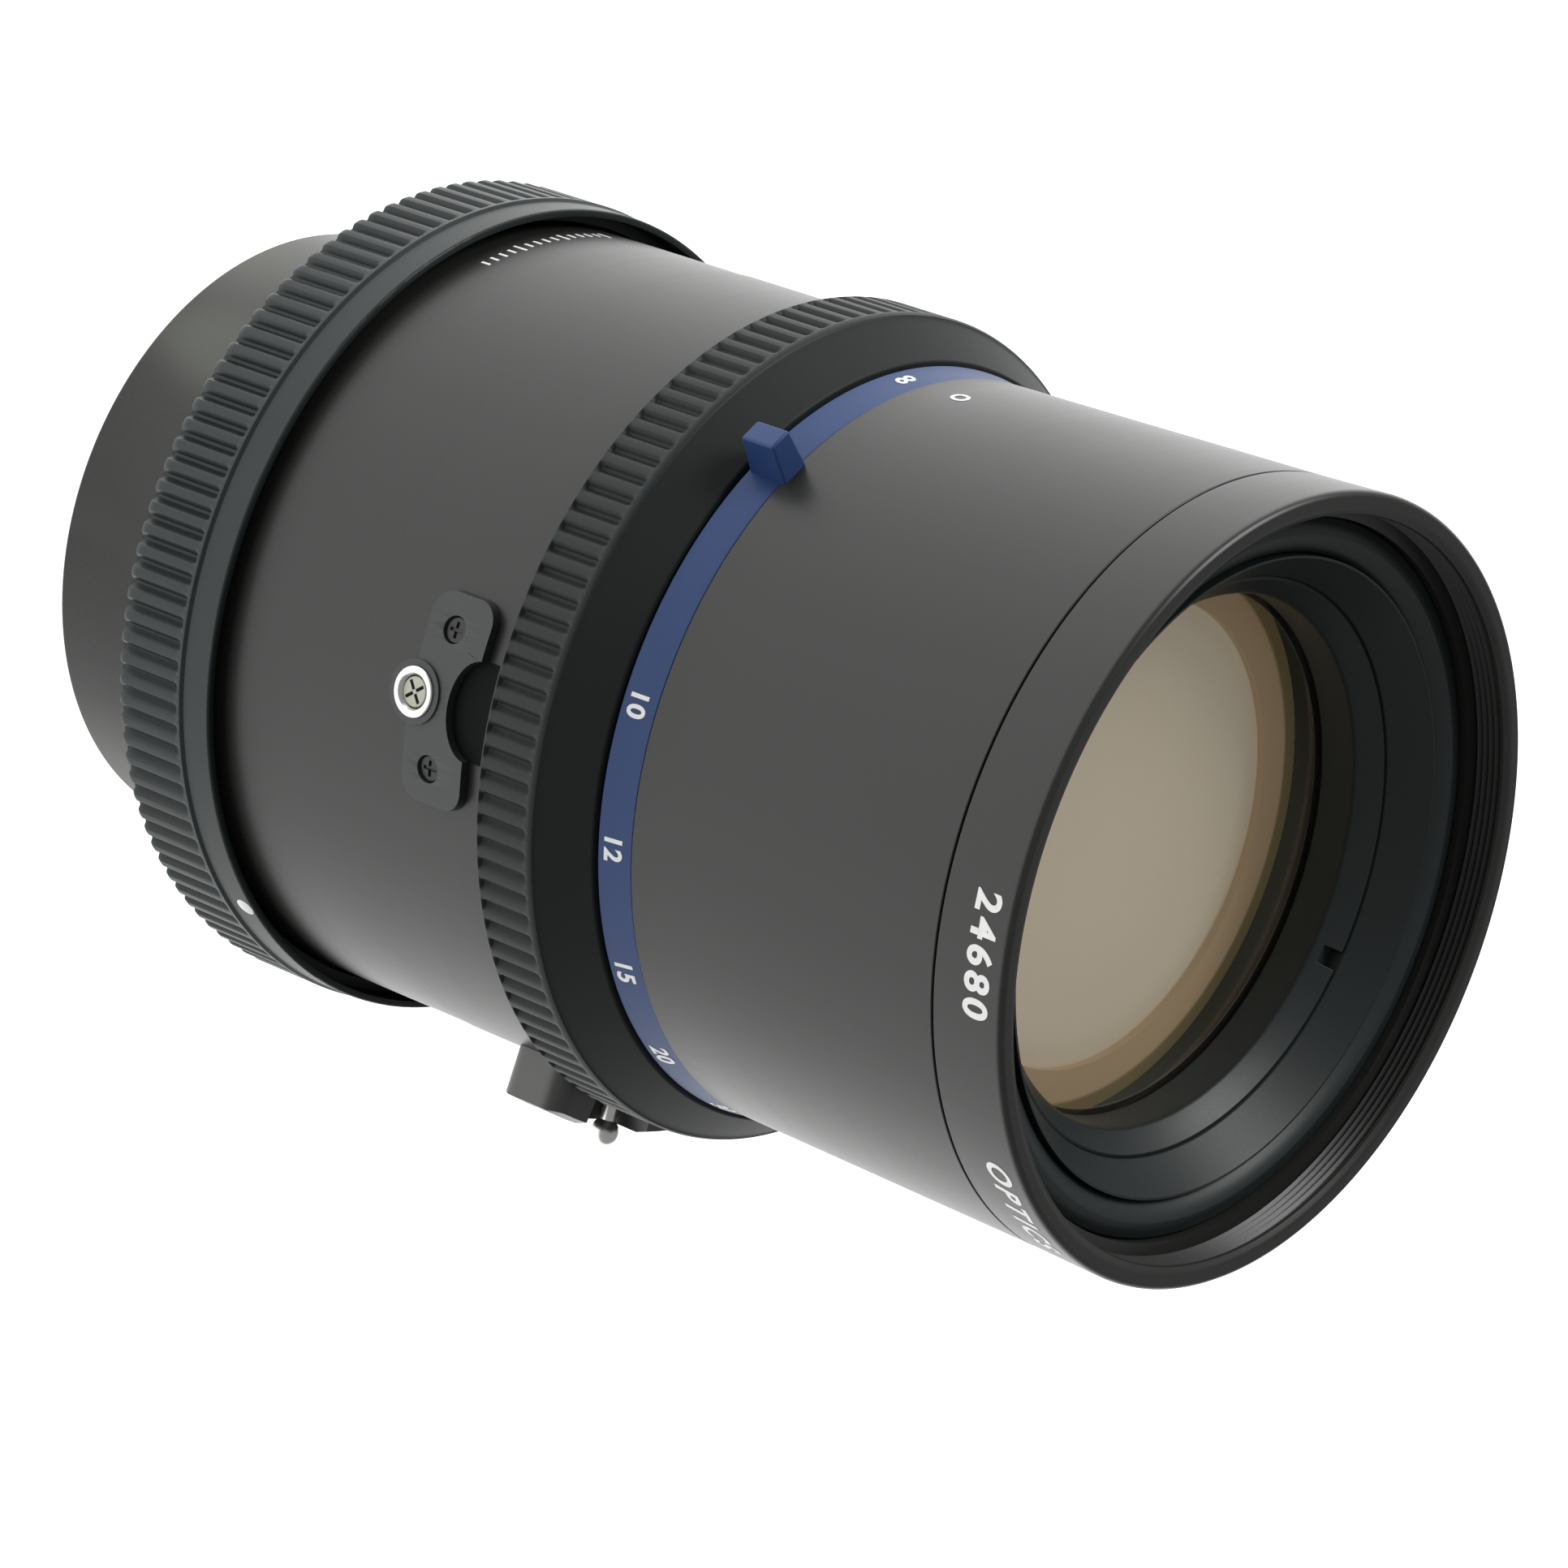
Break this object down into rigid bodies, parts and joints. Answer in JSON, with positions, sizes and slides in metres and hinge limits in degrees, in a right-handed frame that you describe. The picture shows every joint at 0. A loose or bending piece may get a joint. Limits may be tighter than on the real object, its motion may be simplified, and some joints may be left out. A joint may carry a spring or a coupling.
{
  "type": "camera telephoto lens",
  "caption": "Long medium-format camera lens with a ribbed breech-lock ring, ribbed aperture ring, blue distance ring with a block tab, and a deep front barrel with recessed coated glass.",
  "frame": {"origin": "centre of the camera flange plane", "axes": "+Z along the optical axis towards the front glass; the release socket pad faces -Y"},
  "size_m": [0.0943, 0.0898, 0.1386],
  "materials": {
    "satin_black": "satin black anodised aluminium",
    "ribbed_black": "semi-matt black on machined ribs",
    "gloss_black": "glossy black",
    "chrome": "satin chrome on brass",
    "blue_enamel": "satin blue enamel",
    "front_glass": "coated optical glass",
    "inner_glass": "coated optical glass",
    "matt_black": "matt anti-reflection black",
    "blade_steel": "blackened spring steel",
    "brass": "turned brass",
    "black_screw": "blackened steel screws",
    "white_paint": "filled white paint"
  },
  "bodies": {
    "barrel": {"contact_block": "gloss_black", "contact_pins": "brass", "flange_screws": "chrome", "friction_washer": "blade_steel", "front_barrel": "satin_black", "front_cell": "matt_black", "front_element": "front_glass", "front_retaining_ring": "matt_black", "front_ring": "satin_black", "front_spacer": "matt_black", "iris_base_plate": "matt_black", "lever_plate": "satin_black", "lever_plate_screws": "black_screw", "mount_flange": "chrome", "mount_pin": "chrome", "plate_spacers": "brass", "preview_plate": "satin_black", "rear_barrel": "gloss_black", "rear_cell": "matt_black", "rear_element": "inner_glass", "rear_housing": "satin_black", "rear_middle_element": "inner_glass", "rear_retaining_ring": "matt_black", "rear_spacer": "matt_black", "release_socket": "chrome", "second_element": "inner_glass", "shutter_base_plate": "matt_black", "shutter_cover_plate": "matt_black", "shutter_housing": "satin_black", "socket_plate": "satin_black", "socket_plate_screws": "black_screw", "third_element": "inner_glass", "tie_screws": "black_screw", "trim_ring": "matt_black"},
    "bayonet": {"bayonet_ring": "ribbed_black", "bayonet_dot": "white_paint"},
    "cocking": {"cocking_ring": "chrome"},
    "aperture": {"aperture_ring": "satin_black", "iris_drive_ring": "brass", "aperture_key": "brass", "click_ball": "blade_steel", "click_spring": "blade_steel"},
    "distance": {"distance_ring": "blue_enamel"},
    "shutter_drive": {"shutter_drive_ring": "brass"},
    "release": {"release_plunger": "chrome"},
    "time_control": {"time_lever": "chrome"},
    "preview_control": {"preview_lever": "satin_black"},
    "iris_1": {"iris_blade_1": "blade_steel"},
    "shutter_1": {"shutter_blade_1": "blade_steel"},
    "iris_2": {"iris_blade_2": "blade_steel"},
    "shutter_2": {"shutter_blade_2": "blade_steel"},
    "iris_3": {"iris_blade_3": "blade_steel"},
    "shutter_3": {"shutter_blade_3": "blade_steel"},
    "iris_4": {"iris_blade_4": "blade_steel"},
    "shutter_4": {"shutter_blade_4": "blade_steel"},
    "iris_5": {"iris_blade_5": "blade_steel"},
    "shutter_5": {"shutter_blade_5": "blade_steel"}
  },
  "joints": [
    {"name": "bayonet_turn", "type": "hinge", "parent": "barrel", "child": "bayonet", "pos_m": [0, 0, 0.008], "axis": [0, 0, 1], "range_deg": [0, 50]},
    {"name": "cocking_turn", "type": "hinge", "parent": "barrel", "child": "cocking", "pos_m": [0, 0, 0.0064], "axis": [0, 0, 1], "range_deg": [0, 50]},
    {"name": "aperture_turn", "type": "hinge", "parent": "barrel", "child": "aperture", "pos_m": [0, 0, 0.056], "axis": [0, 0, 1], "range_deg": [0, 50]},
    {"name": "distance_turn", "type": "hinge", "parent": "barrel", "child": "distance", "pos_m": [0, 0, 0.067], "axis": [0, 0, 1], "range_deg": [-158, 20]},
    {"name": "shutter_turn", "type": "hinge", "parent": "barrel", "child": "shutter_drive", "pos_m": [0, 0, 0.0409], "axis": [0, 0, 1], "range_deg": [0, 21]},
    {"name": "time_lever_swing", "type": "hinge", "parent": "barrel", "child": "time_control", "pos_m": [0, 0, 0.0449], "axis": [0, 0, 1], "range_deg": [-8, 0]},
    {"name": "preview_lever_swing", "type": "hinge", "parent": "barrel", "child": "preview_control", "pos_m": [0, 0, 0.0449], "axis": [0, 0, 1], "range_deg": [0, 8]},
    {"name": "release_press", "type": "slide", "parent": "barrel", "child": "release", "axis": [-0.2554, 0.9668, 0], "range_m": [0, 0.0006], "stiffness_N_per_m": 300},
    {"name": "iris_swing_1", "type": "hinge", "parent": "barrel", "child": "iris_1", "pos_m": [0.0355, 0, 0.0449], "axis": [0, 0, 1], "range_deg": [0, 30]},
    {"name": "shutter_swing_1", "type": "hinge", "parent": "barrel", "child": "shutter_1", "pos_m": [0.0355, 0, 0.0377], "axis": [0, 0, 1], "range_deg": [0, 42]},
    {"name": "iris_swing_2", "type": "hinge", "parent": "barrel", "child": "iris_2", "pos_m": [0.01097, 0.03376, 0.0454], "axis": [0, 0, 1], "range_deg": [0, 30]},
    {"name": "shutter_swing_2", "type": "hinge", "parent": "barrel", "child": "shutter_2", "pos_m": [0.01097, 0.03376, 0.0382], "axis": [0, 0, 1], "range_deg": [0, 42]},
    {"name": "iris_swing_3", "type": "hinge", "parent": "barrel", "child": "iris_3", "pos_m": [-0.02872, 0.02087, 0.0459], "axis": [0, 0, 1], "range_deg": [0, 30]},
    {"name": "shutter_swing_3", "type": "hinge", "parent": "barrel", "child": "shutter_3", "pos_m": [-0.02872, 0.02087, 0.0387], "axis": [0, 0, 1], "range_deg": [0, 42]},
    {"name": "iris_swing_4", "type": "hinge", "parent": "barrel", "child": "iris_4", "pos_m": [-0.02872, -0.02087, 0.0464], "axis": [0, 0, 1], "range_deg": [0, 30]},
    {"name": "shutter_swing_4", "type": "hinge", "parent": "barrel", "child": "shutter_4", "pos_m": [-0.02872, -0.02087, 0.0392], "axis": [0, 0, 1], "range_deg": [0, 42]},
    {"name": "iris_swing_5", "type": "hinge", "parent": "barrel", "child": "iris_5", "pos_m": [0.01097, -0.03376, 0.0469], "axis": [0, 0, 1], "range_deg": [0, 30]},
    {"name": "shutter_swing_5", "type": "hinge", "parent": "barrel", "child": "shutter_5", "pos_m": [0.01097, -0.03376, 0.0397], "axis": [0, 0, 1], "range_deg": [0, 42]}
  ],
  "couplings": [
    {"joint": "iris_swing_1", "follows": "aperture_turn", "ratio": 0.6},
    {"joint": "shutter_swing_1", "follows": "shutter_turn", "ratio": 2},
    {"joint": "iris_swing_2", "follows": "aperture_turn", "ratio": 0.6},
    {"joint": "shutter_swing_2", "follows": "shutter_turn", "ratio": 2},
    {"joint": "iris_swing_3", "follows": "aperture_turn", "ratio": 0.6},
    {"joint": "shutter_swing_3", "follows": "shutter_turn", "ratio": 2},
    {"joint": "iris_swing_4", "follows": "aperture_turn", "ratio": 0.6},
    {"joint": "shutter_swing_4", "follows": "shutter_turn", "ratio": 2},
    {"joint": "iris_swing_5", "follows": "aperture_turn", "ratio": 0.6},
    {"joint": "shutter_swing_5", "follows": "shutter_turn", "ratio": 2}
  ]
}
